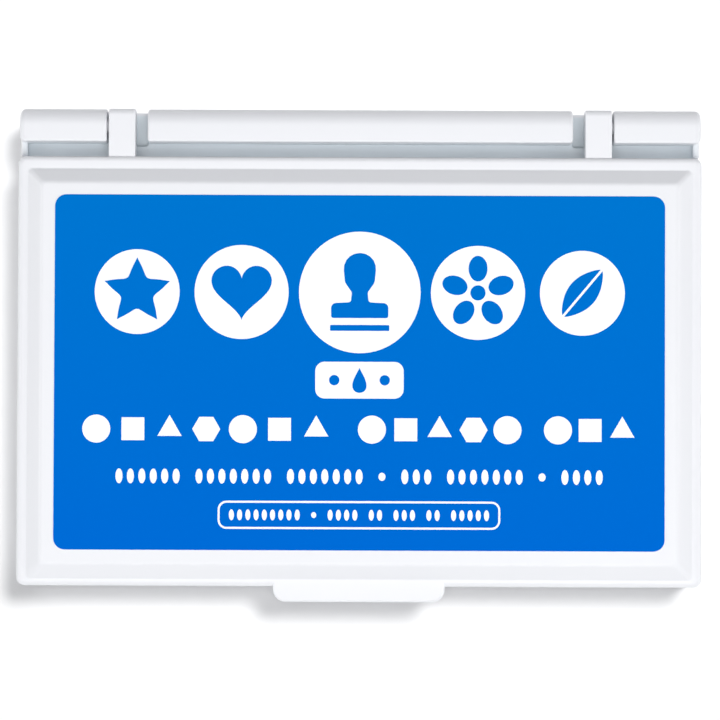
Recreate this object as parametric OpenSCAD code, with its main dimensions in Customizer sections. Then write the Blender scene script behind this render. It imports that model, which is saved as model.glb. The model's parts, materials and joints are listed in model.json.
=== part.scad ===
// Ink pad: a hinged plastic case that holds a cloth-covered felt stamp pad.
// Millimetres. +X is the case's width, +Y points from the thumb tab to the hinge, +Z is up.
// The origin is under the middle of the closed case's bounding box, on the table.

/* [Case] */
// Outside width of the lid
case_w = 120; // [110:1:140]
// Depth of the lid, without its thumb tab and without the hinge
lid_d = 75.4; // [72:0.2:90]
// Height of the closed case, up to the raised panel
case_h = 18; // [18:0.5:22]
// Thickness of the upright walls
wall = 1.6; // [1.4:0.1:1.8]
// Radius of the upright corners
corner_r = 1.6; // [1.2:0.1:3]

/* [Lid] */
// Width of the flat rim round the bevel
rim_w = 1.85; // [1.5:0.05:2.5]
// Width of the bevel, seen from above
bevel_w = 2.55; // [2:0.05:3]
// Height of the bevel
bevel_h = 2.2; // [1.8:0.1:2.4]
// How far the raised panel sits forward of the lid's middle
panel_shift = 0.5; // [0:0.05:0.6]
// Thickness of the lid's top
top_t = 1.5; // [1.2:0.1:1.6]
// Width of the thumb tab
tab_w = 30; // [20:1:40]
// How far the thumb tab stands out in front of the lid
tab_reach = 2.6; // [2:0.1:4]
// Radius of the thumb tab's corners
tab_r = 2.2; // [1:0.1:2.2]
// Thickness of the thumb tab
tab_t = 1.9; // [1.5:0.1:2.2]

/* [Hinge] */
// Distance from the lid's back face to the back of the barrels
hinge_d = 8.4; // [8.2:0.1:9]
// Radius of the three barrel segments, which are upright in front and round behind
barrel_r = 2.95; // [2.8:0.05:3.1]
// Distance of each arm's middle from the case's middle
arm_x = 41.8; // [38:0.1:45]
// Width of each hinge arm
arm_w = 4.7; // [4:0.1:5.5]
// Gap beside each arm that lets it bend inwards when the lid is snapped on
flex_gap = 2.1; // [2:0.1:3]
// Gap between an arm and the barrel segment that holds its pin
side_gap = 0.35; // [0.2:0.05:0.5]
// Radius of the hinge pins
pin_r = 1.2; // [1:0.05:1.3]
// Length of the hinge pins
pin_l = 2.1; // [1.6:0.1:2.2]
// Radial clearance of the pins in their bores
pin_clearance = 0.08; // [0.05:0.01:0.1]

/* [Pad] */
// Width of the cloth-covered pad
pad_w = 95.4; // [85:0.2:98]
// Depth of the cloth-covered pad
pad_d = 57.4; // [50:0.2:58]
// Height of the pad's top above the table
pad_top = 12; // [11.5:0.1:12]
// Thickness of the cloth
cloth_t = 0.5; // [0.4:0.1:0.6]

/* [Labels] */
// Space between the top label's short sides and the edge of the raised panel
label_margin_x = 2.4; // [1.5:0.1:4]
// Mean space between the top label's long sides and the edge of the raised panel
label_margin_y = 2.35; // [1.5:0.05:4]
// How far the top label sits forward of the lid's middle
label_shift = 0.3; // [0:0.05:0.6]
// Corner radius of the top label
label_r = 2; // [1:0.1:3]
// Thickness of the labels
label_t = 0.15; // [0.1:0.05:0.2]

/* [Hidden] */
$fn = 64;

white = "#F2F3F6";
ink_blue = "#12308C";
label_blue = "#0076D6";

// Places along Y
overall_d = tab_reach + lid_d + hinge_d;
front_y = -overall_d / 2 + tab_reach;   // the lid's front face
lid_mid_y = front_y + lid_d / 2;
lid_back_y = front_y + lid_d;
back_y = overall_d / 2;                 // the back of the barrels
axis_y = back_y - barrel_r;

// Heights
seam_z = 9.4;                           // top of the base's outer wall
seam_gap = 0.1;                         // between the base's wall and the lid's skirt
deck_z = 8.6;                           // floor of the trough between outer wall and pad well
deck_t = 1.4;
rim_z = case_h - bevel_h;               // the lid's flat rim
arm_top_z = rim_z - 0.8;
knuckle_r = barrel_r - 0.05;
axis_z = arm_top_z - knuckle_r;
arm_edge_r = 0.8;                       // rounding of the arm's upper back edge
shelf_z = axis_z - 1.05;                // top of the block under the barrels
arm_low_z = axis_z - 0.75;
barrel_edge_r = 0.4;                    // rounding of the barrels' upper front edge
pocket_z = 8;                           // floor of the pockets: the arms' back edges turn just above it

// Base outline: just inside the lid's
base_inset = 0.2;
base_w = case_w - 2 * base_inset;
base_front_y = front_y + base_inset;
base_back_y = back_y - 0.3;
base_d = base_back_y - base_front_y;
base_mid_y = (base_front_y + base_back_y) / 2;
shelf_front_y = lid_back_y + 0.2;       // back of the trough under the lid
groove_back_y = axis_y - barrel_r + 0.5; // just behind the barrels' front faces
wall_in = base_inset + wall;            // inner face of the base's wall, measured from the lid's outline

// Tongue-and-rebate joint along the seam
lip_t = 0.7;
lip_h = 1.2;
rebate_t = 0.8;                         // skirt left beside the rebate
rebate_h = lip_h + 0.3;
lip_end_y = lid_back_y - 4;             // the lip stops short of the lid's back wall

// Pad well and cassette
pad_gap = 1.3;                          // between the pad and the well's wall
well_w = pad_w + 2 * pad_gap;
well_d = pad_d + 2 * pad_gap;
well_r = 3;
well_wall = 1.2;
well_z = pad_top - 1.6;                 // top of the well's wall
floor_t = 1.8;
tape_t = 0.3;
tray_gap = 0.2;
tray_wall = 1;
tray_h = 5.6;
tray_z = floor_t + tape_t;
felt_z = tray_z + tray_wall;
felt_top_t = 3.4;
felt_r = 1.6;

// Sealing rib under the lid, outside the well's wall
seal_gap = 0.8;
seal_t = 1;
seal_z = seam_z;

// Snap: a bead on a tongue of the base stands over a bead on the lid's skirt.
// The beads pass each other with snap_clearance, in place of the bite that bends real plastic.
snap_w = 16;
snap_bead_r = 0.5;
snap_proud = 0.3;                       // how far each bead stands out of its wall
snap_clearance = 0.1;
snap_tongue_t = 1;
snap_tongue_z = 13.2;
snap_tongue_y = front_y + wall + 2 * snap_proud + snap_clearance;   // the tongue's outer face
snap_upper_z = 12.4;
snap_lower_z = 11.5;

// Underside label and its recess
under_w = 84;
under_d = 46;
under_recess = 0.3;

far = 1;                                // how far a cutting shape runs past the face that it cuts

module round_rect(w, d, r) {
    square([w - 2 * r, d], center = true);
    square([w, d - 2 * r], center = true);
    for (x = [-1, 1], y = [-1, 1])
        translate([x * (w / 2 - r), y * (d / 2 - r)]) circle(r);
}

// Upright block with rounded corners, from z0 to z1
module block(w, d, r, z0, z1) {
    translate([0, 0, z0]) linear_extrude(z1 - z0) round_rect(w, d, r);
}

// Block whose four sides lean in by run, over the height rise, above a straight foot
module leaning_block(w, d, foot, rise, run) {
    intersection() {
        rotate([90, 0, 90]) linear_extrude(w, center = true) leaning_profile(d, foot, rise, run);
        rotate([90, 0, 0]) linear_extrude(d, center = true) leaning_profile(w, foot, rise, run);
    }
}

module leaning_profile(w, foot, rise, run) {
    polygon([
        [-w / 2, 0], [w / 2, 0], [w / 2, foot],
        [w / 2 - run, foot + rise], [-w / 2 + run, foot + rise], [-w / 2, foot]
    ]);
}

// Cylinder along X, from x0 to x1, at height z and depth y
module rod(r, x0, x1, y, z) {
    translate([x0, y, z]) rotate([0, 90, 0]) cylinder(r = r, h = x1 - x0);
}

// Box between two corners
module box(low, high) {
    translate(low) cube(high - low);
}

module both_sides() {
    children();
    mirror([1, 0, 0]) children();
}

// ---- Lid ----

panel_w = case_w - 2 * rim_w;           // foot of the bevel
panel_d = lid_d - 2 * rim_w;
bevel_len = sqrt(bevel_w * bevel_w + bevel_h * bevel_h);
inner_foot = top_t * (bevel_len - bevel_w) / bevel_h;  // keeps the bevel's wall as thick as the top
edge_chamfer = 0.5;
lid_z = seam_z + seam_gap;

module lid_shell() {
    difference() {
        union() {
            intersection() {
                block(case_w, lid_d, corner_r, lid_z, rim_z);
                translate([0, 0, lid_z])
                    leaning_block(case_w, lid_d, rim_z - lid_z - edge_chamfer, edge_chamfer, edge_chamfer);
            }
            translate([0, -panel_shift, rim_z - top_t / 2])
                leaning_block(panel_w, panel_d, top_t / 2, bevel_h, bevel_w);
        }
        block(case_w - 2 * wall, lid_d - 2 * wall, corner_r / 2, lid_z - far, rim_z - top_t);
        translate([0, -panel_shift, rim_z - top_t - far])
            leaning_block(panel_w - 2 * inner_foot, panel_d - 2 * inner_foot, far, bevel_h, bevel_w);
        block(case_w - 2 * rebate_t, lid_d - 2 * rebate_t, corner_r / 2, lid_z - far, lid_z + rebate_h);
    }
}

module seal_rib() {
    inner_w = well_w + 2 * (well_wall + seal_gap);
    inner_d = well_d + 2 * (well_wall + seal_gap);
    top_z = case_h - top_t / 2;
    difference() {
        block(inner_w + 2 * seal_t, inner_d + 2 * seal_t, well_r + seal_t, seal_z, top_z);
        block(inner_w, inner_d, well_r, seal_z - far, case_h - top_t);
    }
}

module thumb_tab() {
    root = 1.2;                         // how far the tab runs into the rim
    depth = tab_reach + root + tab_r;
    intersection() {
        translate([0, front_y - tab_reach + depth / 2, 0])
            block(tab_w, depth, tab_r, rim_z - tab_t, rim_z);
        box([-case_w, front_y - 2 * tab_reach, 0], [case_w, front_y + root, case_h]);
    }
}

// An arm seen from the side, with the hinge axis at the origin: flat on top, round underneath
module arm_profile() {
    reach = axis_y - lid_back_y + wall / 2;
    translate([-reach, arm_low_z - axis_z]) square([reach, arm_top_z - arm_low_z]);
    circle(knuckle_r);
    square([knuckle_r - arm_edge_r, knuckle_r]);
    square([knuckle_r, knuckle_r - arm_edge_r]);
    translate([knuckle_r - arm_edge_r, knuckle_r - arm_edge_r]) circle(arm_edge_r);
}

module hinge_arm() {
    x0 = arm_x - arm_w / 2;
    x1 = arm_x + arm_w / 2;
    lead_in = 0.4;
    translate([x0, axis_y, axis_z]) rotate([90, 0, 90]) linear_extrude(arm_w) arm_profile();
    rod(pin_r, x1 - far, x1 + pin_l - lead_in, axis_y, axis_z);
    translate([x1 + pin_l - lead_in, axis_y, axis_z])
        rotate([0, 90, 0]) cylinder(r1 = pin_r, r2 = pin_r - lead_in, h = lead_in);
}

module lid() color(white) {
    translate([0, lid_mid_y, 0]) {
        lid_shell();
        seal_rib();
    }
    thumb_tab();
    both_sides() hinge_arm();
    rod(snap_bead_r, -snap_w / 2 + 1, snap_w / 2 - 1, front_y + wall + snap_proud - snap_bead_r,
        snap_lower_z);
}

label_w = panel_w - 2 * (bevel_w + label_margin_x);
label_d = panel_d - 2 * (bevel_w + label_margin_y);

module lid_label() color(label_blue) {
    translate([0, lid_mid_y - label_shift, 0])
        block(label_w, label_d, label_r, case_h, case_h + label_t);
}

// ---- Base ----

pocket_x0 = arm_x - arm_w / 2 - flex_gap;   // end of the middle barrel segment
pocket_x1 = arm_x + arm_w / 2 + side_gap;   // start of the outer segments
pocket_front_y = axis_y - barrel_r - 0.45;
end_wall_t = 1.2;

module locating_lip() {
    outer = base_inset + 0.9;
    intersection() {
        translate([0, lid_mid_y, 0]) difference() {
            block(case_w - 2 * outer, lid_d - 2 * outer, corner_r / 2, deck_z, seam_z + lip_h);
            block(case_w - 2 * (outer + lip_t), lid_d - 2 * (outer + lip_t), corner_r / 4,
                deck_z - far, case_h);
        }
        box([-case_w, front_y - far, 0], [case_w, lip_end_y, case_h]);
    }
}

module snap_tongue() {
    box([-snap_w / 2, snap_tongue_y, deck_z - far / 2],
        [snap_w / 2, snap_tongue_y + snap_tongue_t, snap_tongue_z]);
    box([-snap_w / 2, front_y + wall_in - 0.1, deck_z - far / 2],
        [snap_w / 2, snap_tongue_y + 0.1, seam_z + lip_h]);
    rod(snap_bead_r, -snap_w / 2, snap_w / 2, snap_tongue_y + snap_bead_r - snap_proud, snap_upper_z);
}

// A barrel seen from the side, with the hinge axis at the origin: upright in front, round behind
module barrel_profile() {
    foot = deck_z - axis_z;
    circle(barrel_r);
    translate([-barrel_r, foot]) square([barrel_r, barrel_r - barrel_edge_r - foot]);
    translate([-barrel_r + barrel_edge_r, foot]) square([barrel_r - barrel_edge_r, barrel_r - foot]);
    translate([-barrel_r + barrel_edge_r, barrel_r - barrel_edge_r]) circle(barrel_edge_r);
}

module barrel_segment(x0, x1) {
    translate([x0, axis_y, axis_z]) rotate([90, 0, 90]) linear_extrude(x1 - x0) barrel_profile();
}

module barrels() {
    end_chamfer = 0.8;
    barrel_segment(-pocket_x0, pocket_x0);
    both_sides() {
        barrel_segment(pocket_x1, base_w / 2 - end_chamfer);
        translate([base_w / 2 - end_chamfer, axis_y, axis_z]) rotate([0, 90, 0])
            cylinder(r1 = barrel_r, r2 = barrel_r - end_chamfer, h = end_chamfer);
        box([base_w / 2 - end_wall_t, shelf_front_y, deck_z], [base_w / 2, axis_y, axis_z - 0.4]);
    }
}

// Hollow under the deck, between the outer wall and the well
module underside_hollow() {
    difference() {
        translate([0, base_mid_y, 0])
            block(base_w - 2 * wall, base_d - 2 * wall, corner_r / 2, -far, deck_z - deck_t);
        translate([0, lid_mid_y, 0])
            block(well_w + 2 * well_wall, well_d + 2 * well_wall, well_r + well_wall, -2 * far, deck_z);
    }
}

// Ribs that stiffen the hollow
module underside_ribs() {
    rib_t = 1;
    rib_z0 = 1;
    well_x = well_w / 2 + well_wall / 2;
    well_front_y = lid_mid_y - well_d / 2 - well_wall / 2;
    well_back_y = lid_mid_y + well_d / 2 + well_wall / 2;
    for (x = [-40 : 20 : 40]) {
        box([x - rib_t / 2, base_front_y + wall / 2, rib_z0], [x + rib_t / 2, well_front_y, deck_z - 0.5]);
        box([x - rib_t / 2, well_back_y, rib_z0], [x + rib_t / 2, base_back_y - wall / 2, deck_z - 0.5]);
    }
    both_sides() for (y = [-20 : 20 : 20])
        box([well_x, lid_mid_y + y - rib_t / 2, rib_z0],
            [base_w / 2 - wall / 2, lid_mid_y + y + rib_t / 2, deck_z - 0.5]);
}

// Pockets that the arms turn in, open at the back and on top
module arm_pockets() {
    both_sides() box([pocket_x0, pocket_front_y, pocket_z], [pocket_x1, back_y + far, case_h]);
}

// Cores that keep the plastic under the barrels thin
module barrel_cores() {
    core_y = [axis_y - barrel_r + wall, base_back_y - wall];
    core_z = shelf_z - deck_t;
    box([-pocket_x0 + wall, core_y[0], deck_z - 2 * deck_t], [pocket_x0 - wall, core_y[1], core_z]);
    both_sides() box([pocket_x1 + pin_l + wall, core_y[0], deck_z - 2 * deck_t],
        [base_w / 2 - wall, core_y[1], core_z]);
}

module base() color(white) {
    difference() {
        union() {
            difference() {
                translate([0, base_mid_y, 0]) block(base_w, base_d, corner_r, 0, shelf_z);
                // everything in front of the barrels is only as high as the seam
                box([-case_w, -case_w, seam_z], [case_w, groove_back_y, case_h]);
                // trough
                box([-base_w / 2 + wall, base_front_y + wall, deck_z],
                    [base_w / 2 - wall, shelf_front_y, case_h]);
                underside_hollow();
            }
            translate([0, lid_mid_y, 0])
                block(well_w + 2 * well_wall, well_d + 2 * well_wall, well_r + well_wall, 0, well_z);
            locating_lip();
            snap_tongue();
            barrels();
            underside_ribs();
        }
        translate([0, lid_mid_y, 0]) {
            block(well_w, well_d, well_r, floor_t, case_h);
            block(under_w + 1, under_d + 1, 2, -far, under_recess);
        }
        arm_pockets();
        barrel_cores();
        both_sides()
            rod(pin_r + pin_clearance, pocket_x1 - far, pocket_x1 - side_gap + pin_l + 0.3, axis_y, axis_z);
    }
}

module underside_label() color("#FAFAF7") {
    translate([0, lid_mid_y, 0])
        block(under_w, under_d, 1.5, under_recess - label_t, under_recess);
}

// ---- Pad ----

module pad_tray() color(white) translate([0, lid_mid_y, 0]) {
    w = well_w - 2 * tray_gap;
    d = well_d - 2 * tray_gap;
    difference() {
        block(w, d, well_r - tray_gap, tray_z, tray_z + tray_h);
        block(w - 2 * tray_wall, d - 2 * tray_wall, well_r - tray_gap - tray_wall, felt_z, case_h);
    }
}

module tray_tape() color("#F4F1DE") {
    for (y = [-1, 1])
        translate([0, lid_mid_y + y * pad_d / 4, 0]) block(pad_w - 12, 12, 0.5, floor_t, tray_z);
}

module felt(z0, z1) color(ink_blue) {
    translate([0, lid_mid_y, 0]) block(pad_w - 2 * cloth_t, pad_d - 2 * cloth_t, felt_r, z0, z1);
}

felt_top_z = pad_top - cloth_t;

module felt_reservoir() felt(felt_z, felt_top_z - felt_top_t);

module felt_top() felt(felt_top_z - felt_top_t, felt_top_z);

module pad_cloth() color(ink_blue) translate([0, lid_mid_y, 0]) difference() {
    block(pad_w, pad_d, felt_r + cloth_t, felt_z + 0.5, pad_top);
    block(pad_w - 2 * cloth_t, pad_d - 2 * cloth_t, felt_r, felt_z - far, felt_top_z);
}

base();
pad_tray();
tray_tape();
felt_reservoir();
felt_top();
pad_cloth();
underside_label();
lid();
lid_label();
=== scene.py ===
# %% [markdown]
# # An ink pad, finished in Blender
# The ink pad is a shallow case with a hinged lid. Its working shape, its sizes and the way the lid turns
# come from a finished CAD model, which loads here as a fixed frame. This script builds the pieces that are
# seen around that frame: rounded mouldings, a printed label, woven cloth and felt.
# The pieces' lengths are in millimetres, because the parts of a real stamp pad are drawn that way, and they
# are multiplied by MM when a mesh is made. Only the table and the lamps are placed in metres.

# %% Load the frame
import json
import math

import bmesh
import bpy
from mathutils import Matrix, Vector


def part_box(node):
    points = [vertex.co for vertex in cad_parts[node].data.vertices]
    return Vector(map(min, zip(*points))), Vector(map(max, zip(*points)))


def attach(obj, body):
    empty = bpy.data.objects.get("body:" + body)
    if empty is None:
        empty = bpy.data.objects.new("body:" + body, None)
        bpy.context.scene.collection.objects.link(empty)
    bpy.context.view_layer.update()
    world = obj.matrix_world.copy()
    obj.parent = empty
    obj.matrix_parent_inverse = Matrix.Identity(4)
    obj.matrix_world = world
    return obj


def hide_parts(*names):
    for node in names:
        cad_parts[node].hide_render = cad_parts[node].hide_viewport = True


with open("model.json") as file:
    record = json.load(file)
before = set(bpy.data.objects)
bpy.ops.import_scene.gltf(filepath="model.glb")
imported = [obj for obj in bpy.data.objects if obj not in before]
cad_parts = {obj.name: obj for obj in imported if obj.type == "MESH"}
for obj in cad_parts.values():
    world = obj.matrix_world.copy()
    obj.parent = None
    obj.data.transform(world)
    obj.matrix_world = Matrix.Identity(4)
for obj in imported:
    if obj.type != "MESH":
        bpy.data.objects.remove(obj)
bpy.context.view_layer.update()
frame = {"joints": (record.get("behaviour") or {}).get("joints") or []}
MM = 0.001

# %% [markdown]
# ## Camera
# The pad is seen from almost straight above, by a long lens about 0.6 m up. Such a lens flattens the view:
# the sides of the case don't show, and its front and back edges stay nearly parallel. The camera stands a
# little on the tab's side of the middle, and it is turned by a fraction of a degree.

# %% Camera
CAMERA_DISTANCE = 630
CAMERA_TILT = math.radians(1.5)
CAMERA_TURN = math.radians(0.22)
CAMERA_LENS = 180.5
AIM = Vector((0.08, -0.95, 17))


def make_camera():
    data = bpy.data.cameras.new("camera")
    data.lens = CAMERA_LENS
    camera = bpy.data.objects.new("camera", data)
    bpy.context.collection.objects.link(camera)
    camera.rotation_euler = (CAMERA_TILT, 0, CAMERA_TURN)
    sight = camera.rotation_euler.to_matrix() @ Vector((0, 0, -1))
    camera.location = (AIM - sight * CAMERA_DISTANCE) * MM
    data.clip_start, data.clip_end = 0.01, 10
    bpy.context.scene.camera = camera
    return camera


camera = make_camera()
print("camera stands at", [round(v, 3) for v in camera.location])

# %% [markdown]
# ## Tools for moulded shapes
# A moulded case is mostly rounded rectangles that are stacked, stepped and hollowed. It could be modelled
# with cubes and a bevel, but then each step in a wall would have to be cut by hand. A loft is easier to
# steer: a line is drawn once as the wall's cross-section, with its corners turned into arcs, and it is
# carried round a rounded rectangle. Each point of the line becomes one ring of the mesh.

# %% A cross-section line with rounded corners
ARC_STEPS = 5


def rounded_path(corners):
    """(u, v, radius) corners become a line of points whose corners are arcs."""
    path = [Vector(corners[0][:2])]
    for before, here, after in zip(corners, corners[1:], corners[2:]):
        corner, radius = Vector(here[:2]), here[2]
        if radius == 0:
            path.append(corner)
            continue
        back = (Vector(before[:2]) - corner).normalized()
        ahead = (Vector(after[:2]) - corner).normalized()
        half = back.angle(ahead) / 2
        centre = corner + (back + ahead).normalized() * radius / math.sin(half)
        first = corner + back * radius / math.tan(half) - centre
        last = corner + ahead * radius / math.tan(half) - centre
        sweep = first.angle(last)
        for k in range(ARC_STEPS + 1):
            share = k / ARC_STEPS
            spoke = first * math.sin((1 - share) * sweep) + last * math.sin(share * sweep)
            path.append(centre + spoke / math.sin(sweep))
    path.append(Vector(corners[-1][:2]))
    return path


# %% Rings and lofts
CORNER_STEPS = 7
MIN_RADIUS = 0.05


def ring(width, depth, radius, mid_y, z):
    """The points of a rounded rectangle at height z, anticlockwise from above."""
    radius = max(radius, MIN_RADIUS)
    points = []
    for quarter, (side_x, side_y) in enumerate([(1, 1), (-1, 1), (-1, -1), (1, -1)]):
        for k in range(CORNER_STEPS + 1):
            angle = math.radians(90 * (quarter + k / CORNER_STEPS))
            points.append(Vector((
                side_x * (width / 2 - radius) + radius * math.cos(angle),
                mid_y + side_y * (depth / 2 - radius) + radius * math.sin(angle),
                z,
            )))
    return points


def solid(name, points, faces):
    """A mesh object from points in millimetres, with its doubles merged and its faces turned outwards."""
    mesh = bpy.data.meshes.new(name)
    mesh.from_pydata([p * MM for p in points], [], faces)
    shape = bmesh.new()
    shape.from_mesh(mesh)
    bmesh.ops.remove_doubles(shape, verts=shape.verts, dist=1e-7)
    bmesh.ops.recalc_face_normals(shape, faces=shape.faces)
    shape.to_mesh(mesh)
    shape.free()
    piece = bpy.data.objects.new(name, mesh)
    bpy.context.collection.objects.link(piece)
    return piece


def loft(name, rings, endless=False):
    """A closed solid through rings of equal length. Its ends are capped, or joined if it is endless."""
    count = len(rings[0])
    spans = len(rings) if endless else len(rings) - 1
    faces = []
    for k in range(spans):
        low, high = k * count, (k + 1) % len(rings) * count
        for i in range(count):
            j = (i + 1) % count
            faces.append((low + i, low + j, high + j, high + i))
    if not endless:
        faces.append(tuple(reversed(range(count))))
        faces.append(tuple((len(rings) - 1) * count + i for i in range(count)))
    return solid(name, [p for r in rings for p in r], faces)


# %% Walls and blocks
CAP_INSET = 0.4


def swept_wall(name, width, depth, mid_y, corner, section, endless=False, least=MIN_RADIUS, offset=None):
    """A cross-section of (inset, height, radius) corners, carried round a rounded rectangle.

    offset(inset, height) says how far a ring sits from the middle.
    """
    rings = [
        ring(width - 2 * u, depth - 2 * u, max(corner - u, least), mid_y + (offset(u, v) if offset else 0), v)
        for u, v in rounded_path(section)
    ]
    return loft(name, rings, endless)


def block(name, low, high, corner, edge_low, edge_high):
    """A box with rounded upright corners, and with its lower and upper edges rounded.

    Its flat ends begin at a ring that is inset by a share of the shorter side.
    """
    width, depth = high[0] - low[0], high[1] - low[1]
    middle_x = (low[0] + high[0]) / 2
    inner = CAP_INSET * min(width, depth)
    section = [
        (inner, low[2], 0), (0, low[2], edge_low), (0, high[2], edge_high), (inner, high[2], 0)
    ]
    piece = swept_wall(name, width, depth, (low[1] + high[1]) / 2, corner, section)
    piece.data.transform(Matrix.Translation((middle_x * MM, 0, 0)))
    return piece


# %% [markdown]
# Pins, bores and snap beads are round about a line. A cylinder would do for most of them, but a profile
# that is turned like wood on a lathe gives a chamfer or a rounded end at no extra cost.

# %% Turned solids
TURN_STEPS = 48


def turned(name, profile, y, z):
    """A solid of revolution about a line along X. The profile is (x, radius) from end to end."""
    rings = []
    for x, radius in [(profile[0][0], 0), *profile, (profile[-1][0], 0)]:
        angles = [math.tau * k / TURN_STEPS for k in range(TURN_STEPS)]
        rings.append([Vector((x, y + radius * math.cos(a), z + radius * math.sin(a))) for a in angles])
    return loft(name, rings)


def round_bar(name, x0, x1, radius, round_start, round_end, y, z):
    """A bar along X whose two ends are rounded."""
    corners = [(x0, 0, 0), (x0, radius, round_start), (x1, radius, round_end), (x1, 0, 0)]
    return turned(name, rounded_path(corners)[1:-1], y, z)


# %% [markdown]
# Separate solids become one moulding with booleans. They could be left overlapping, but then hidden
# faces would stay inside the walls. The manifold solver is quick and leaves a closed mesh, and the check
# below counts any edge that doesn't have exactly two faces.

# %% Joining and cutting
BESIDE = 70  # a cutting block reaches this far to each side of the middle
ABOVE = 40  # and up to this height
PAST = 5  # or it runs this far past the face that it cuts


def settle(piece):
    """Replaces a piece's mesh with what its modifiers make of it."""
    evaluated = piece.evaluated_get(bpy.context.evaluated_depsgraph_get())
    mesh = bpy.data.meshes.new_from_object(evaluated)
    piece.modifiers.clear()
    piece.data = mesh
    return piece


def combine(piece, operation, *tools):
    for tool in tools:
        modifier = piece.modifiers.new(tool.name, "BOOLEAN")
        modifier.operation = operation
        modifier.solver = "MANIFOLD"
        modifier.object = tool
    settle(piece)
    for tool in tools:
        bpy.data.objects.remove(tool)
    return piece


def mirrored(piece):
    """A copy on the other side of the case's middle plane."""
    copy = piece.copy()
    copy.data = piece.data.copy()
    copy.data.transform(Matrix.Scale(-1, 4, (1, 0, 0)))
    copy.data.flip_normals()
    bpy.context.collection.objects.link(copy)
    return copy


def both_sides(*pieces):
    return [*pieces, *(mirrored(p) for p in pieces)]


def smooth(piece, sharp_angle=35):
    """Smooth faces that keep flats flat, and sharp lines only where the moulding has a true corner."""
    piece.data.shade_smooth()
    piece.data.set_sharp_from_angle(angle=math.radians(sharp_angle))
    modifier = piece.modifiers.new("even_normals", "WEIGHTED_NORMAL")
    modifier.keep_sharp = True
    settle(piece)
    shape = bmesh.new()
    shape.from_mesh(piece.data)
    loose = sum(len(edge.link_faces) != 2 for edge in shape.edges)
    shape.free()
    print(f"{piece.name}: {len(piece.data.polygons)} faces, {loose} open edges")
    return piece


# %% [markdown]
# Things that repeat on this case, such as ribs and printed marks, are set out by Geometry Nodes. A tree is
# built here with named inputs, and it ends in Realize Instances and Set Material, so that what it makes
# can be turned into a plain mesh.

# %% Node trees


def new_tree(name, inputs):
    """An empty Geometry Nodes tree with named inputs: (name, socket type, default)."""
    tree = bpy.data.node_groups.new(name, "GeometryNodeTree")
    for label, kind, default in inputs:
        tree.interface.new_socket(label, in_out="INPUT", socket_type=kind).default_value = default
    tree.interface.new_socket("Geometry", in_out="OUTPUT", socket_type="NodeSocketGeometry")
    return tree


def add_node(tree, kind, settings=None, links=None):
    """Adds a node, sets its properties or sockets by name, and links its inputs from other outputs."""
    node = tree.nodes.new(kind)
    for key, value in (settings or {}).items():
        if isinstance(key, str) and hasattr(node, key):
            setattr(node, key, value)
        else:
            node.inputs[key].default_value = value
    for key, output in (links or {}).items():
        tree.links.new(output, node.inputs[key])
    return node


def close_tree(tree, geometry, material):
    """Ends a tree in Realize Instances and Set Material."""
    real = add_node(tree, "GeometryNodeRealizeInstances", links={"Geometry": geometry})
    finish = add_node(
        tree, "GeometryNodeSetMaterial", {"Material": material}, {"Geometry": real.outputs["Geometry"]}
    )
    add_node(tree, "NodeGroupOutput", links={"Geometry": finish.outputs["Geometry"]})


def grow(name, tree, values):
    """A plain mesh object grown by a tree, whose inputs are set by their identifiers."""
    piece = bpy.data.objects.new(name, bpy.data.meshes.new(name))
    bpy.context.collection.objects.link(piece)
    modifier = piece.modifiers.new(name, "NODES")
    modifier.node_group = tree
    for item in tree.interface.items_tree:
        if item.in_out == "INPUT" and item.name in values:
            modifier[item.identifier] = values[item.name]
    return settle(piece)

# %% [markdown]
# ## Materials
# Colours are noted as hex values, the way a printer or a paint maker gives them. Those are sRGB, and the
# shader works in linear light, so one function converts them.

# %% Colours and a shader


def linear(code):
    """An sRGB hex colour as linear RGBA."""
    channels = [int(code[i : i + 2], 16) / 255 for i in (1, 3, 5)]
    return tuple(c / 12.92 if c <= 0.04045 else ((c + 0.055) / 1.055) ** 2.4 for c in channels) + (1.0,)


def new_material(name, color, settings):
    """A material with one Principled shader, whose constant values sit on its own sockets."""
    material = bpy.data.materials.new(name)
    material.use_nodes = True
    tree = material.node_tree
    shader = tree.nodes["Principled BSDF"]
    shader.inputs["Base Color"].default_value = linear(color)
    for key, value in settings.items():
        shader.inputs[key].default_value = value
    material.diffuse_color = linear(color)
    return material, tree, shader


def noise_on(tree, place, scale_mm, detail=3, roughness=0.5):
    """Noise whose grains are about scale_mm across."""
    return add_node(tree, "ShaderNodeTexNoise", {
        "Scale": 1 / (scale_mm * MM), "Detail": detail, "Roughness": roughness,
    }, {"Vector": place})


def blend_colors(tree, factor, first, second):
    """A colour between two hex colours."""
    mix = add_node(tree, "ShaderNodeMix", {"data_type": "RGBA"}, {0: factor})
    mix.inputs[6].default_value = linear(first)
    mix.inputs[7].default_value = linear(second)
    return mix.outputs[2]


def bump(tree, shader, height, depth_mm):
    """Bump whose full height is depth_mm."""
    node = add_node(tree, "ShaderNodeBump", {"Strength": 1.0, "Distance": depth_mm * MM}, {"Height": height})
    tree.links.new(node.outputs["Normal"], shader.inputs["Normal"])
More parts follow.
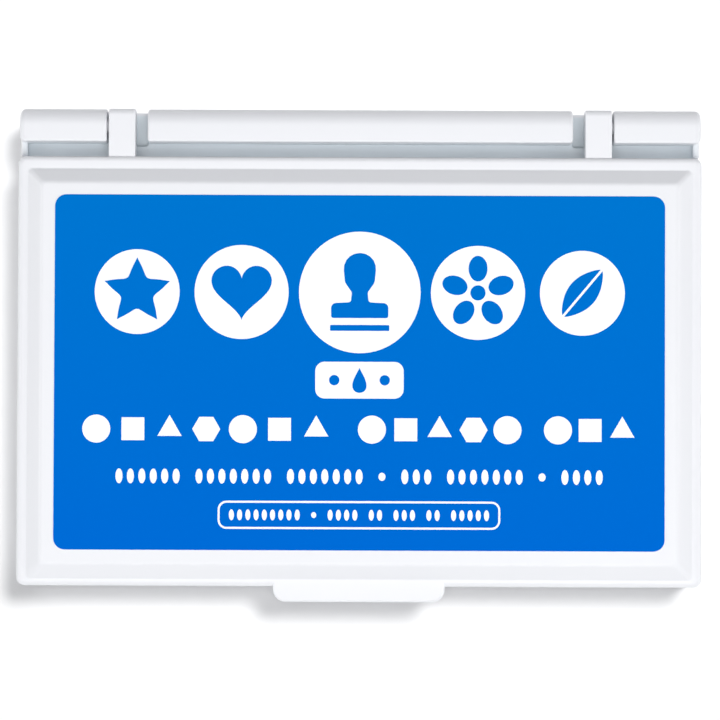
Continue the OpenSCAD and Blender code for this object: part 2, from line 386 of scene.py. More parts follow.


# %% [markdown]
# ** Moulded polystyrene.** The case is opaque white general-purpose polystyrene, straight from a polished
# mould: bright, glossy, and very slightly cool. Three things keep it from looking like paint. The surface
# rolls gently where the plastic shrank, handling leaves it a little less glossy in patches, and its white
# isn't perfectly even. Low in the groove and the pockets behind the lid, the base's white is blended by
# place towards a cool blue-grey. That is painted shade, for the shade that falls in those recesses. The
# tint is mild, so that the groove doesn't look painted with the lid open.
# Moulded polystyrene.** The case is opaque white general-purpose polystyrene, straight from a polished
# mould: bright, glossy, and very slightly cool. Three things keep it from looking like paint. The surface
# rolls gently where the plastic shrank, handling leaves it a little less glossy in patches, and its white
# isn't perfectly even. Low in the groove and the pockets behind the lid the plastic looks blue-grey. Deep
# shade or a trace of ink could do that. Here the base's white is blended towards a cool tint by place, which
# stands in for either, and the tint is mild, so that the groove doesn't look painted with the lid open.

# %% Material: moulded glossy polystyrene
# Each axis has a step: where it starts and ends in mm, and its value at both. X is measured from the middle.
# All steps are multiplied into the mask of the painted shade. The first row holds the groove. The second
# keeps off what is below it and behind.
GROOVE = {"X": (59.3, 59.7, 1, 0), "Y": (34.6, 35.2, 0, 1), "Z": (8.8, 14.5, 1, 0)}
GROOVE_ENDS = {"Y": (42.2, 42.7, 1, 0), "Z": (7.3, 7.9, 0, 1)}


def painted_shade_mask(tree, place):
    """Where the painted shade goes: 1 low in the groove behind the lid and in the arms' pockets, 0 elsewhere.
    """
    axes = add_node(tree, "ShaderNodeSeparateXYZ", links={"Vector": place}).outputs
    off_middle = add_node(tree, "ShaderNodeMath", {"operation": "ABSOLUTE"}, {0: axes["X"]}).outputs[0]
    share = None
    for table in (GROOVE, GROOVE_ENDS):
        for letter, (start, end, low, high) in table.items():
            step = add_node(tree, "ShaderNodeMapRange", {
                "interpolation_type": "SMOOTHSTEP", "From Min": start * MM, "From Max": end * MM,
                "To Min": low, "To Max": high,
            }, {"Value": off_middle if letter == "X" else axes[letter]}).outputs["Result"]
            if share is None:
                share = step
                continue
            both = add_node(tree, "ShaderNodeMath", {"operation": "MULTIPLY"}, {0: share, 1: step})
            share = both.outputs[0]
    return share


def moulded_polystyrene(name, color, shade, roughness, painted_shade_color=None):
    material, tree, shader = new_material(name, color, {"Roughness": roughness, "IOR": 1.55})
    place = add_node(tree, "ShaderNodeTexCoord").outputs["Object"]
    shrink = noise_on(tree, place, 9, 2)
    handled = noise_on(tree, place, 14, 2)
    gloss = add_node(tree, "ShaderNodeMapRange", {
        "From Min": 0.35, "From Max": 0.7, "To Min": roughness - 0.01, "To Max": roughness + 0.02,
    }, {"Value": handled.outputs["Fac"]})
    tree.links.new(gloss.outputs["Result"], shader.inputs["Roughness"])
    white = blend_colors(tree, handled.outputs["Fac"], color, shade)
    if painted_shade_color:
        # Painted shade: a cool blue-grey is blended into the white by place, low in the groove and the
        # pockets.
        mix = add_node(tree, "ShaderNodeMix", {"data_type": "RGBA"}, {0: painted_shade_mask(tree, place), 6: white})
        mix.inputs[7].default_value = linear(painted_shade_color)
        white = mix.outputs[2]
    tree.links.new(white, shader.inputs["Base Color"])
    bump(tree, shader, shrink.outputs["Fac"], 0.006)
    return material


case_plastic = moulded_polystyrene("moulded_glossy_polystyrene", "#EDEEF1", "#EBECF0", 0.34)
# The base's white carries painted shade, a cool blue-grey low in its groove and pockets.
base_plastic = moulded_polystyrene("glossy_polystyrene_painted_shade", "#EDEEF1", "#EBECF0", 0.34, painted_shade_color="#E0E8ED")
tray_plastic = moulded_polystyrene("thermoformed_polystyrene", "#E9EAEC", "#E2E4E7", 0.42)

# %% [markdown]
# ** Printed film.** The top label is white polypropylene film with a solid blue printed on it and a matt
# varnish over both. Flat ink has almost no shine, so its specular level is low, or the sky would wash the
# blue out. The blue is painted lighter towards the far edge and darker towards the near one. That is a
# painted reflection, for the sheen that the light lays on the film's far side.

# %% Material: printed polypropylene film


def printed_film(name, far_color, near_color, specular):
    material, tree, shader = new_material(name, far_color, {"Roughness": 0.5, "Specular IOR Level": specular})
    place = add_node(tree, "ShaderNodeTexCoord").outputs["Object"]
    along = add_node(tree, "ShaderNodeSeparateXYZ", links={"Vector": place}).outputs["Y"]
    # Painted reflection: the colour runs from near_color at the near edge to far_color at the far edge.
    reflection_share = add_node(tree, "ShaderNodeMapRange", {"From Min": -0.034, "From Max": 0.028}, {"Value": along})
    color = blend_colors(tree, reflection_share.outputs["Result"], near_color, far_color)
    tree.links.new(color, shader.inputs["Base Color"])
    bump(tree, shader, noise_on(tree, place, 0.5, 2).outputs["Fac"], 0.003)
    return material


blue_film = printed_film("printed_polypropylene_film", "#0073CB", "#0067CE", 0.0)
white_ink = printed_film("printed_white_ink", "#FDFEFF", "#FBFDFF", 0.2)
blue_ink = printed_film("printed_blue_ink", "#0073CB", "#0067CE", 0.0)

# %% [markdown]
# **Woven cotton, soaked with ink.** The pad's cover is a plain weave: each thread goes over one and under
# the next. Two sets of bands stand for the two thread directions, and a checker says which is on top. The
# pattern reads the attribute thread_place, which holds where each point lay on the flat cloth, so the
# threads turn over the pad's edges. Real threads are nearer 0.3 mm; 0.45 mm still shows from above.

# %% Material: plain-woven inked cotton
THREAD = 0.45
WAVE_FACTOR = 20  # the wave texture multiplies its coordinate by this before it takes the sine


def woven_cotton(name, dry, wet):
    material, tree, shader = new_material(name, wet, {"Roughness": 0.5, "Sheen Weight": 0.15})
    place = add_node(tree, "ShaderNodeAttribute", {"attribute_name": "thread_place"}).outputs["Vector"]
    band_scale = math.tau / WAVE_FACTOR / (THREAD * MM)
    warp = add_node(tree, "ShaderNodeTexWave", {
        "wave_profile": "SIN", "bands_direction": "X", "Scale": band_scale, "Distortion": 0.6,
    }, {"Vector": place})
    weft = add_node(tree, "ShaderNodeTexWave", {
        "wave_profile": "SIN", "bands_direction": "Y", "Scale": band_scale, "Distortion": 0.6,
    }, {"Vector": place})
    over = add_node(tree, "ShaderNodeTexChecker", {"Scale": 1 / (THREAD * MM)}, {"Vector": place})
    weave = add_node(tree, "ShaderNodeMix", links={
        0: over.outputs["Fac"], 2: warp.outputs["Fac"], 3: weft.outputs["Fac"],
    })
    pool = noise_on(tree, place, 7, 4, 0.6)
    damp = add_node(tree, "ShaderNodeMapRange", {
        "From Min": 0.3, "From Max": 0.7, "To Min": 0.32, "To Max": 0.6,
    }, {"Value": pool.outputs["Fac"]})
    tree.links.new(damp.outputs["Result"], shader.inputs["Roughness"])
    tree.links.new(blend_colors(tree, pool.outputs["Fac"], wet, dry), shader.inputs["Base Color"])
    bump(tree, shader, weave.outputs[0], 0.09)
    return material


inked_cotton = woven_cotton("plain_woven_inked_cotton", "#2148B4", "#102C8A")

# %% [markdown]
# **Felt, tape and paper.** Pressed felt has no weave, only matted fibres, so two sizes of noise make its
# bump. The tape is a cream film with adhesive on both sides. The paper is coated, with a faint tooth.

# %% Materials: pressed felt, tape and coated paper


def matted(name, first, second, fibre_mm, depth_mm, settings):
    """A surface of fine irregular grain in two close colours."""
    material, tree, shader = new_material(name, first, settings)
    place = add_node(tree, "ShaderNodeTexCoord").outputs["Object"]
    cloud = noise_on(tree, place, fibre_mm * 12, 3)
    fibre = noise_on(tree, place, fibre_mm, 6, 0.7)
    tree.links.new(blend_colors(tree, cloud.outputs["Fac"], first, second), shader.inputs["Base Color"])
    bump(tree, shader, fibre.outputs["Fac"], depth_mm)
    return material


inked_felt = matted("pressed_inked_felt", "#0E2470", "#1B3C9C", 0.5, 0.15, {"Roughness": 0.9})
cream_tape = matted("double_sided_tape", "#F3EFDA", "#EBE5CA", 0.8, 0.01, {"Roughness": 0.35})
label_paper = matted("coated_paper", "#FAFAF7", "#F4F4F0", 0.2, 0.008, {"Roughness": 0.55})
print("materials:", [m.name for m in bpy.data.materials])

# %% [markdown]
# ## Places shared by the pieces
# The lid and the base meet along a seam and at the hinge, so their common places are worked out once
# from the frame: the hinge axis from the joint, the top label from its box, and the rest from there.

# %% Shared places
label_low, label_high = (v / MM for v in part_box("lid_label"))
under_low, under_high = (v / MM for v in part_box("underside_label"))
lid_low, lid_high = (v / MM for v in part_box("lid"))
base_low, base_high = (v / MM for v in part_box("base"))
axis = Vector(frame["joints"][0]["pos_m"]) / MM

LID_DEPTH = 75.4
TAB_REACH = 2.6
CORNER = 1.6
WALL = 1.6
PANEL_RISE = 2.2
SEAM_GAP = 0.1  # the sealing rib's foot is level with the seam, this far below the skirt
BASE_INSET = 0.2  # the base's outline lies this far inside the lid's
mid_y = lid_low.y + TAB_REACH + LID_DEPTH / 2
lid_width = lid_high.x - lid_low.x
lid_front_y = mid_y - LID_DEPTH / 2
lid_back_y = mid_y + LID_DEPTH / 2
panel_z = lid_high.z
rim_z = panel_z - PANEL_RISE
skirt_z = lid_low.z + SEAM_GAP
print("lid from y", round(lid_front_y, 2), "to", round(lid_back_y, 2), "and hinge axis at", axis[:])

# %% [markdown]
# ## The lid
# The lid is one injection moulding of glossy white polystyrene. A flat rim runs round it, a bevel climbs
# from the rim to the raised panel that carries the label, and a skirt hangs down with a rebate inside for
# the base's lip. Every outside edge has a radius, because a mould's edges are never quite sharp, and those
# radii are what catch the light. The rim, bevel, skirt and underside are one line in the cross-section.

# %% Lid shell
RIM = 1.85
BEVEL = 2.55
TOP = 1.5
REBATE_WALL = 0.8
REBATE_TOP = 11
DRAFT = 0.12
PANEL_SHIFT = 0.5
FLAT = 4  # the flat panel's first ring lies this far inside the bevel
FOOT_ROOM = 0.25  # a little more than the bevel's rounded foot reaches outside it
slope = math.hypot(BEVEL, panel_z - rim_z)
inner_foot = RIM + TOP * (slope - BEVEL) / (panel_z - rim_z)


def panel_offset(u, v):
    """The raised panel and the hollow under it sit forward of the lid's middle."""
    foot = RIM if v > rim_z - TOP / 2 else inner_foot
    return -PANEL_SHIFT if u > foot - FOOT_ROOM else 0


lid = swept_wall(
    "lid_shell", lid_width, LID_DEPTH, mid_y, CORNER,
    [
        (RIM + BEVEL + FLAT, panel_z, 0),
        (RIM + BEVEL, panel_z, 1.2),
        (RIM, rim_z, 0.45),
        (DRAFT, rim_z, 1.0),
        (0, skirt_z, 0.15),
        (REBATE_WALL, skirt_z, 0.1),
        (REBATE_WALL, REBATE_TOP, 0.1),
        (WALL, REBATE_TOP, 0.12),
        (WALL, rim_z - TOP, 0.3),
        (inner_foot, rim_z - TOP, 0.3),
        (inner_foot + BEVEL, panel_z - TOP, 0.5),
        (inner_foot + BEVEL + FLAT, panel_z - TOP, 0),
    ],
    least=0.8,
    offset=panel_offset,
)
print("the bevel climbs", round(panel_z - rim_z, 2), "mm over", BEVEL, "mm")

# %% [markdown]
# A rib under the lid drops round the pad's well and slows the ink from drying out. The thumb tab is a
# rounded tongue, flush with the rim.

# %% A wall that runs round


def closed_wall(name, width, depth, corner, shrink, thickness, foot, head, foot_edge, head_edge):
    """A wall round a rounded rectangle. Its corners' radius falls by shrink per mm of inset."""
    section = [
        (thickness / 2, foot, 0), (0, foot, foot_edge), (0, head, head_edge),
        (thickness, head, head_edge), (thickness, foot, foot_edge), (thickness / 2, foot, 0),
    ]
    rings = [
        ring(width - 2 * u, depth - 2 * u, corner - shrink * u, mid_y, v)
        for u, v in rounded_path(section)[:-1]
    ]
    return loft(name, rings, endless=True)


# %% Sealing rib and thumb tab
RIB = 1
RIB_OUTER_W = 104
RIB_OUTER_D = 66
RIB_CORNER = 4
RIB_EDGE = 0.3
TAB_WIDTH = 30
TAB_THICKNESS = 1.9
TAB_CORNER = 2.2
TAB_ROOT = 1.5
TAB_EDGE = 0.4


def sealing_rib():
    return closed_wall(
        "sealing_rib", RIB_OUTER_W, RIB_OUTER_D, RIB_CORNER, 1, RIB, lid_low.z, panel_z - TOP / 2, RIB_EDGE, 0
    )


def thumb_tab():
    back = lid_front_y + TAB_ROOT
    low = (-TAB_WIDTH / 2, lid_low.y, rim_z - TAB_THICKNESS)
    high = (TAB_WIDTH / 2, back + TAB_CORNER, rim_z)
    tab = block("thumb_tab", low, high, TAB_CORNER, TAB_EDGE, TAB_EDGE)
    cut = block("cut", (-BESIDE, back, 0), (BESIDE, back + 20, ABOVE), 0, 0, 0)
    return combine(tab, "DIFFERENCE", cut)


# %% [markdown]
# Two arms at the back carry the hinge pins. An arm is flat on top and round underneath, so that it can
# turn in its pocket. It is lofted sideways, and its first and last rings are drawn in a little, which
# rounds the arm's long edges. The pin has a chamfer, so that it finds its bore when the lid is snapped on.

# %% Hinge arms
ARM_X = 41.8
ARM_WIDTH = 4.7
ARM_EDGE = 0.25
ARM_BACK_EDGE = 1.2
ARM_UNDERSIDE = -0.75
KNUCKLE = 2.9
PIN_RADIUS = 1.2
PIN_LENGTH = 2.1
PIN_CHAMFER = 0.4
PIN_ROOT = 1  # the pin starts this far inside the arm


def arc(middle_u, middle_v, radius, start, end, steps):
    """The points of an arc about a middle, with both of its ends."""
    angles = [start + (end - start) * k / steps for k in range(steps + 1)]
    return [(middle_u + radius * math.cos(a), middle_v + radius * math.sin(a)) for a in angles]


def arm_ring(x, inset):
    """The arm's outline seen from the side, drawn in by inset, about the hinge axis."""
    radius, under = KNUCKLE - inset, ARM_UNDERSIDE + inset
    edge = ARM_BACK_EDGE - inset
    front = lid_back_y - axis.y - WALL / 2
    start = math.pi - math.asin(under / radius)
    outline = [
        (front, under),
        *arc(0, 0, radius, start, math.tau, 16),
        *arc(radius - edge, radius - edge, edge, 0, math.pi / 2, 6),
        (front, radius),
    ]
    return [Vector((x, axis.y + y, axis.z + z)) for y, z in outline]


def hinge_arm():
    x0, x1 = ARM_X - ARM_WIDTH / 2, ARM_X + ARM_WIDTH / 2
    ends = rounded_path([(x0, 1, 0), (x0, 0, ARM_EDGE), (x1, 0, ARM_EDGE), (x1, 1, 0)])[1:-1]
    return loft("hinge_arm", [arm_ring(x, inset) for x, inset in ends])


def hinge_pin():
    root, tip = ARM_X + ARM_WIDTH / 2 - PIN_ROOT, ARM_X + ARM_WIDTH / 2 + PIN_LENGTH
    profile = [(root, PIN_RADIUS), (tip - PIN_CHAMFER, PIN_RADIUS), (tip, PIN_RADIUS - PIN_CHAMFER)]
    return turned("hinge_pin", profile, axis.y, axis.z)


# %% [markdown]
# Inside the front wall a low bead snaps past its mate on the base and holds the lid shut. It is a bar sunk
# into the wall, so that only part of it stands out. With that, the lid's pieces become one solid.

# %% Lid, joined
SNAP_HALF = 8
SNAP_BEAD = 0.5
SNAP_END = 0.4
SNAP_PROUD = 0.3
SNAP_LOWER_Z = 11.5


def lid_bead():
    y, half = lid_front_y + WALL + SNAP_PROUD - SNAP_BEAD, SNAP_HALF - 1
    return round_bar("lid_bead", -half, half, SNAP_BEAD, SNAP_END, SNAP_END, y, SNAP_LOWER_Z)


combine(lid, "UNION", sealing_rib(), thumb_tab(), lid_bead(), *both_sides(hinge_arm(), hinge_pin()))
lid.data.materials.clear()
lid.data.materials.append(case_plastic)
smooth(lid)

# %% [markdown]
# ## The base
# The base is the second moulding. It has an outer wall, a deck, and a raised well for the pad. At the back
# it carries three barrels, with a pocket on each side for the lid's arms. It is built from plain lofted
# blocks, because each of its steps is a rounded rectangle. The cutting blocks have rounded edges too, and
# such an edge leaves a fillet in the corner that it cuts.

# %% Base: outer wall, shelf and well
BARREL_PROUD = 0.3  # the barrels stand this far out of the back wall
base_mid_y = (base_low.y + base_high.y - BARREL_PROUD) / 2
base_width = base_high.x - base_low.x
base_depth = base_high.y - BARREL_PROUD - base_low.y
half_base = base_width / 2
SEAM_Z = 9.4
DECK_Z = 8.6
DECK = 1.4
BARREL = 2.95
TROUGH_GAP = 0.2  # the trough ends this far behind the lid
FACE_DEPTH = 0.5  # the groove's back wall is hidden this far inside the barrels' upright fronts
shelf_z = axis.z - 1.05
WELL_W, WELL_D, WELL_R = 98, 60, 3
WELL_WALL = 1.2
WELL_TOP = 10.4
WELL_FLOOR = 1.8
shelf_y = lid_back_y + TROUGH_GAP
groove_back_y = axis.y - BARREL + FACE_DEPTH
base_back_y = base_low.y + base_depth


def centred_block(name, width, depth, corner, z0, z1, edge_low, edge_high, middle=mid_y):
    low = (-width / 2, middle - depth / 2, z0)
    high = (width / 2, middle + depth / 2, z1)
    return block(name, low, high, corner, edge_low, edge_high)


base = centred_block("base_shell", base_width, base_depth, CORNER, 0, SEAM_Z, 0.45, 0.2, base_mid_y)
shelf = centred_block("shelf", base_width, base_depth, CORNER, 5, shelf_z, 0, 0.25, base_mid_y)
shelf_cut = block("shelf_cut", (-BESIDE, -BESIDE, 0), (BESIDE, groove_back_y, ABOVE), 0, 0, 0)
combine(shelf, "DIFFERENCE", shelf_cut)

trough = block(
    "trough", (-half_base + WALL, base_low.y + WALL, DECK_Z), (half_base - WALL, shelf_y, ABOVE), 0.8, 0.4, 0
)
hollow = centred_block(
    "hollow", base_width - 2 * WALL, base_depth - 2 * WALL, 0.8, -PAST, DECK_Z - DECK, 0, 0.5, base_mid_y
)
well = centred_block(
    "well", WELL_W + 2 * WELL_WALL, WELL_D + 2 * WELL_WALL, WELL_R + WELL_WALL, 0, WELL_TOP, 0.3, 0.35
)
combine(base, "UNION", shelf)
combine(base, "DIFFERENCE", trough, hollow)
combine(base, "UNION", well)
print("groove floor from y", round(shelf_y, 2), "to the barrels at", round(axis.y - BARREL, 2))

# %% [markdown]
# Thin ribs stiffen the hollow under the deck. One tree makes every row of them, a line of points with a box
# on each, and only the sizes differ.

# %% A tree that sets ribs in a row


def rib_tree():
    tree = new_tree("rib_row", [
        ("Count", "NodeSocketInt", 5),
        ("Start", "NodeSocketVector", (0, 0, 0)),
        ("Step", "NodeSocketVector", (0, 0, 0)),
        ("Size", "NodeSocketVector", (0, 0, 0)),
    ])
    given = add_node(tree, "NodeGroupInput").outputs
    line = add_node(tree, "GeometryNodeMeshLine", links={
        "Count": given["Count"], "Start Location": given["Start"], "Offset": given["Step"],
    })
    box = add_node(tree, "GeometryNodeMeshCube", links={"Size": given["Size"]})
    rows = add_node(tree, "GeometryNodeInstanceOnPoints", links={
        "Points": line.outputs["Mesh"], "Instance": box.outputs["Mesh"],
    })
    close_tree(tree, rows.outputs["Instances"], base_plastic)
    return tree


# %% Ribs under the deck
RIB_T = 1
RIBS_X, RIBS_Y = 40, 20  # the outermost ribs' distance from the middle
RIB_LOW_Z = 1
rib_high_z = DECK_Z - 0.5
ribs = rib_tree()


def rib_row(name, first, last, count, size):
    step = (Vector(last) - Vector(first)) / (count - 1)
    return grow(name, ribs, {
        "Count": count, "Start": Vector(first) * MM, "Step": step * MM, "Size": Vector(size) * MM,
    })


rib_z = (RIB_LOW_Z + rib_high_z) / 2
rib_height = rib_high_z - RIB_LOW_Z
well_front_y = mid_y - WELL_D / 2 - WELL_WALL / 2
well_back_y = mid_y + WELL_D / 2 + WELL_WALL / 2
well_side_x = WELL_W / 2 + WELL_WALL / 2


def between(inner, outer):
    """The middle and the length of a rib that spans from the well's wall into the outer wall."""
    return (inner + outer) / 2, abs(outer - inner)


front_y, front_length = between(well_front_y, base_low.y + WALL / 2)
back_y, back_length = between(well_back_y, base_back_y - WALL / 2)
side_x, side_length = between(well_side_x, half_base - WALL / 2)
front_ribs = rib_row(
    "front_ribs", (-RIBS_X, front_y, rib_z), (RIBS_X, front_y, rib_z), 5, (RIB_T, front_length, rib_height)
)
back_ribs = rib_row(
    "back_ribs", (-RIBS_X, back_y, rib_z), (RIBS_X, back_y, rib_z), 5, (RIB_T, back_length, rib_height)
)
right_ribs = rib_row(
    "right_ribs", (side_x, mid_y - RIBS_Y, rib_z), (side_x, mid_y + RIBS_Y, rib_z), 3,
    (side_length, RIB_T, rib_height),
)
combine(base, "UNION", front_ribs, back_ribs, *both_sides(right_ribs))

# %% [markdown]
# The lip stands round the front and the sides, inside the lid's rebate. At the front a small tongue with
# a bead holds the lid shut.

# %% Base: well, lip and snap tongue
LIP_INSET = 0.9
LIP = 0.7
LIP_TOP = SEAM_Z + 1.2
LIP_CORNER = 0.8
LIP_EDGE = 0.2
LIP_END_Y = lid_back_y - 4
ROOT_Z = DECK_Z - 0.5  # what stands on the deck starts inside it
TONGUE = 1
TONGUE_FOOT = 1.7
TONGUE_TOP = 13.2
TONGUE_CLEARANCE = 0.1
SNAP_UPPER_Z = 12.4
tongue_y = lid_front_y + WALL + 2 * SNAP_PROUD + TONGUE_CLEARANCE


def locating_lip():
    width, depth = base_width - 2 * LIP_INSET, LID_DEPTH - 2 * BASE_INSET - 2 * LIP_INSET
    lip = closed_wall("lip", width, depth, LIP_CORNER, 0.5, LIP, ROOT_Z, LIP_TOP, 0, LIP_EDGE)
    cut = block("cut", (-BESIDE, LIP_END_Y, 0), (BESIDE, BESIDE, ABOVE), 0, 0, 0)
    return combine(lip, "DIFFERENCE", cut)


def snap_tongue():
    half, bead_y = SNAP_HALF, tongue_y + SNAP_BEAD - SNAP_PROUD
    tongue = block("tongue", (-half, tongue_y, ROOT_Z), (half, tongue_y + TONGUE, TONGUE_TOP), 0.3, 0, 0.3)
    foot_low = (-half, lid_front_y + TONGUE_FOOT, ROOT_Z)
    foot = block("foot", foot_low, (half, tongue_y + 0.2, LIP_TOP), 0.1, 0, 0.1)
    bead = round_bar("bead", -half, half, SNAP_BEAD, SNAP_END, SNAP_END, bead_y, SNAP_UPPER_Z)
    return [tongue, foot, bead]


cavity = swept_wall(
    "cavity", WELL_W + 1, WELL_D + 1, mid_y, WELL_R + 0.5,
    [
        (10, WELL_FLOOR, 0), (0.5, WELL_FLOOR, 0.4), (0.5, WELL_TOP - 0.05, 0.3), (0, WELL_TOP + 0.02, 0),
        (0, ABOVE, 0), (10, ABOVE, 0),
    ],
)
combine(base, "DIFFERENCE", cavity)
combine(base, "UNION", locating_lip(), *snap_tongue())

# %% [markdown]
# The barrels are what the eye finds first at the back of the closed case. They are round behind, but
# upright in front, where the mould opens straight up: so they are lofted from a D-shaped outline, and not
# turned. Their outer ends are rounded over, their inner ends only a little, and a low wall closes the
# groove between them and the lid at each side.

# %% Base: barrels, end walls and pockets
BARREL_EDGE = 0.4
FLEX_GAP = 2.1
SIDE_GAP = 0.35
END_WALL = 1.2
POCKET_Z = 8
POCKET_GAP = 0.45  # the pockets start this far in front of the barrels
PIN_CLEARANCE = 0.08
BORE_GAP = 0.3  # the bores run this far past the pins' tips
pocket_x0 = ARM_X - ARM_WIDTH / 2 - FLEX_GAP
pocket_x1 = ARM_X + ARM_WIDTH / 2 + SIDE_GAP
pocket_front_y = axis.y - BARREL - POCKET_GAP


def barrel_ring(x, inset):
    """A barrel's outline seen from the side, drawn in by inset, about the hinge axis."""
    radius, edge, foot = BARREL - inset, BARREL_EDGE, SEAM_Z - 0.5 - axis.z
    outline = [
        (-radius, foot),
        *arc(-radius + edge, radius - edge, edge, math.pi, math.pi / 2, 6),
        *arc(0, 0, radius, math.pi / 2, -math.pi / 2, 24),
        (0, foot),
    ]
    return [Vector((x, axis.y + y, axis.z + z)) for y, z in outline]


def barrel_segment(name, x0, x1, round_start, round_end):
    ends = rounded_path([(x0, 2, 0), (x0, 0, round_start), (x1, 0, round_end), (x1, 2, 0)])[1:-1]
    return loft(name, [barrel_ring(x, inset) for x, inset in ends])


def arm_pocket():
    return block(
        "pocket", (pocket_x0, pocket_front_y, POCKET_Z), (pocket_x1, base_high.y + PAST, ABOVE), 0.6, 0.3, 0
    )


def pin_bore():
    radius, end = PIN_RADIUS + PIN_CLEARANCE, pocket_x1 - SIDE_GAP + PIN_LENGTH + BORE_GAP
    return turned("bore", [(pocket_x1 - 1, radius), (end, radius)], axis.y, axis.z)


def core(x0, x1):
    """A hollow that keeps the plastic under a barrel as thin as the walls."""
    low = (x0, axis.y - BARREL + WALL, DECK_Z - 2 * DECK)
    return block("core", low, (x1, base_back_y - WALL, shelf_z - DECK), 0.3, 0, 0.3)


middle_barrel = barrel_segment("middle_barrel", -pocket_x0, pocket_x0, 0.5, 0.5)
outer_barrel = barrel_segment("outer_barrel", pocket_x1, half_base, 0.35, 1.0)
end_wall = block(
    "end_wall", (half_base - END_WALL, shelf_y, SEAM_Z - 1), (half_base, axis.y + 1, axis.z - 0.4),
    0.25, 0, 0.45,
)
combine(base, "DIFFERENCE", *both_sides(arm_pocket()))
combine(base, "UNION", middle_barrel, *both_sides(outer_barrel, end_wall))
combine(base, "DIFFERENCE", core(-pocket_x0 + WALL, pocket_x0 - WALL),
        *both_sides(core(pocket_x1 + PIN_LENGTH + WALL, half_base - WALL), pin_bore()))

# %% [markdown]
# The label under the base lies in a shallow recess, which keeps its edges from being rubbed off. The recess
# is a little larger than the label, because a label is never laid perfectly straight.

# %% Base: recess for the underside label
RECESS_GAP = 0.5
recess = block(
    "recess", (under_low.x - RECESS_GAP, under_low.y - RECESS_GAP, -PAST),
    (under_high.x + RECESS_GAP, under_high.y + RECESS_GAP, under_high.z), 2, 0, 0,
)
combine(base, "DIFFERENCE", recess)
base.data.materials.clear()
base.data.materials.append(base_plastic)
smooth(base)

# %% [markdown]
# ## The top label
# The label is a film with two layers of ink on it. It could be one plane with painted shapes, but then the
# print would have no edges of its own, so each layer is a very thin solid. The art is of the kind that a
# stamp pad carries, pictures of stamps and rows of plain marks, and it has no lettering.

# %% Tools for print
FILM = 0.11
INK_STEP = 0.02
INK = 0.03
white_z = label_low.z + FILM - INK + INK_STEP
blue_z = white_z + INK_STEP
label_x = (label_low.x + label_high.x) / 2
label_y = (label_low.y + label_high.y) / 2


def plate(name, outlines, z):
    """Thin solids of ink, one for each closed outline of (x, y) points about the label's middle."""
    points, faces = [], []
    for outline in outlines:
        first, count = len(points), len(outline)
        points += [Vector((label_x + p[0], label_y + p[1], level)) for level in (z, z + INK) for p in outline]
        faces.append(tuple(first + k for k in reversed(range(count))))
        faces.append(tuple(first + count + k for k in range(count)))
        for k in range(count):
            j = (k + 1) % count
            faces.append((first + k, first + j, first + count + j, first + count + k))
    return solid(name, points, faces)


def curve(x, y, point_at, steps=72):
    """A closed outline whose point at each angle is given by a formula."""
    points = [point_at(math.tau * k / steps) for k in range(steps)]
    return [(x + px, y + py) for px, py in points]


def disc(x, y, radius):
    return curve(x, y, lambda a: (radius * math.cos(a), radius * math.sin(a)))


def oval(x, y, long, short, turn):
    def point_at(a):
        u, v = long * math.cos(a), short * math.sin(a)
        return u * math.cos(turn) - v * math.sin(turn), u * math.sin(turn) + v * math.cos(turn)
    return curve(x, y, point_at, 36)


def bar(x, y, width, height, corner):
    return [(p.x + x, p.y) for p in ring(width, height, corner, y, 0)]


def gather(name, pieces, material):
    """One mesh made of several, with one material."""
    shape = bmesh.new()
    for piece in pieces:
        shape.from_mesh(piece.data)
        bpy.data.objects.remove(piece)
    mesh = bpy.data.meshes.new(name)
    shape.to_mesh(mesh)
    shape.free()
    mesh.materials.clear()
    mesh.materials.append(material)
    for face in mesh.polygons:
        face.material_index = 0
    joined = bpy.data.objects.new(name, mesh)
    bpy.context.collection.objects.link(joined)
    print(f"{name}: {len(pieces)} parts, {len(mesh.polygons)} faces")
    return joined


# %% [markdown]
# Each picture is drawn by a formula, by ovals or by a few corners with arcs. The pictures could be
# traced by hand, but a formula stays smooth at any size, and its few numbers are easy to change.

# %% Pictures for the discs


def star(x, y, size):
    def point_at(a):
        radius = size * (1 - 0.5 * abs(math.sin(2.5 * (a - math.pi / 2))) ** 0.8)
        return radius * math.cos(a), radius * math.sin(a)
    return [curve(x, y, point_at, 120)]


def heart(x, y, size):
    def point_at(a):
        across = 16 * math.sin(a) ** 3
        up = 13 * math.cos(a) - 5 * math.cos(2 * a) - 2 * math.cos(3 * a) - math.cos(4 * a)
        return across * size / 17, (up + 2) * size / 17
    return [curve(x, y, point_at)]


def flower(x, y, size):
    petals = []
    for k in range(5):
        turn = math.pi / 2 + math.tau * k / 5
        out = 0.64 * size
        petal_x, petal_y = x + out * math.cos(turn), y + out * math.sin(turn)
        petals.append(oval(petal_x, petal_y, 0.34 * size, 0.25 * size, turn))
    return [disc(x, y, 0.2 * size), *petals]


def leaf(x, y, size):
    """Two halves with a narrow midrib between them, leaning to the right."""
    turn, rib = math.radians(50), 0.04 * size
    halves = []
    for side in (1, -1):
        line = []
        for k in range(25):
            share = k / 24
            bulge = 0.45 * size * math.sin(math.pi * share) ** 0.8
            line.append((size * (2 * share - 1), side * (rib + bulge)))
        halves.append([
            (x + u * math.cos(turn) - v * math.sin(turn), y + u * math.sin(turn) + v * math.cos(turn))
            for u, v in line
        ])
    return halves


def drop(x, y, size):
    return [curve(x, y, lambda a: (0.8 * size * math.sin(a) * math.sin(a / 2) ** 1.5, size * math.cos(a)))]


